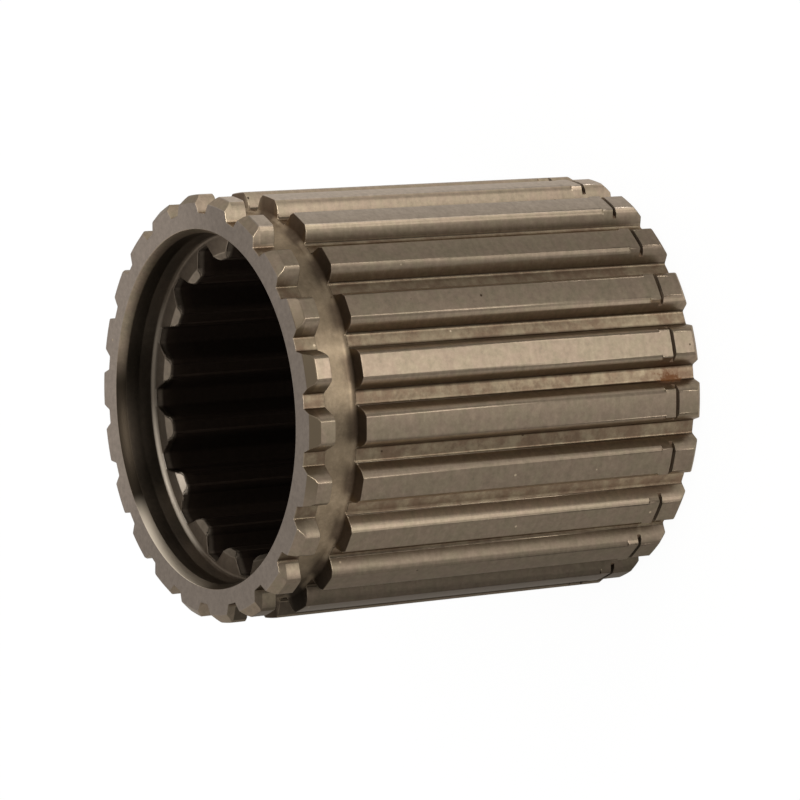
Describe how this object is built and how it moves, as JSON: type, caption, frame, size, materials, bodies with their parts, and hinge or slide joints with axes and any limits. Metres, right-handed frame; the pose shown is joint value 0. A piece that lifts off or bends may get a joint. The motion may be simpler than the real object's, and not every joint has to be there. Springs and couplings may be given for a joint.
{
  "type": "spline coupling",
  "caption": "Splined steel coupling sleeve with long external teeth, a toothed locking ring behind a turned relief, and a counterbored internal spline.",
  "frame": {"origin": "on the sleeve's axis, at the middle of the plain end that it stands on", "axes": "+Z along the sleeve's axis towards the locking ring, +X through the middle of an external and of an internal tooth"},
  "size_m": [0.069, 0.0688, 0.0745],
  "materials": {
    "machined_steel": "satin machined steel with a warm brown film of oil, light wear and a few rust marks"
  },
  "bodies": {
    "root": {"coupling_sleeve": "machined_steel"}
  },
  "joints": []
}
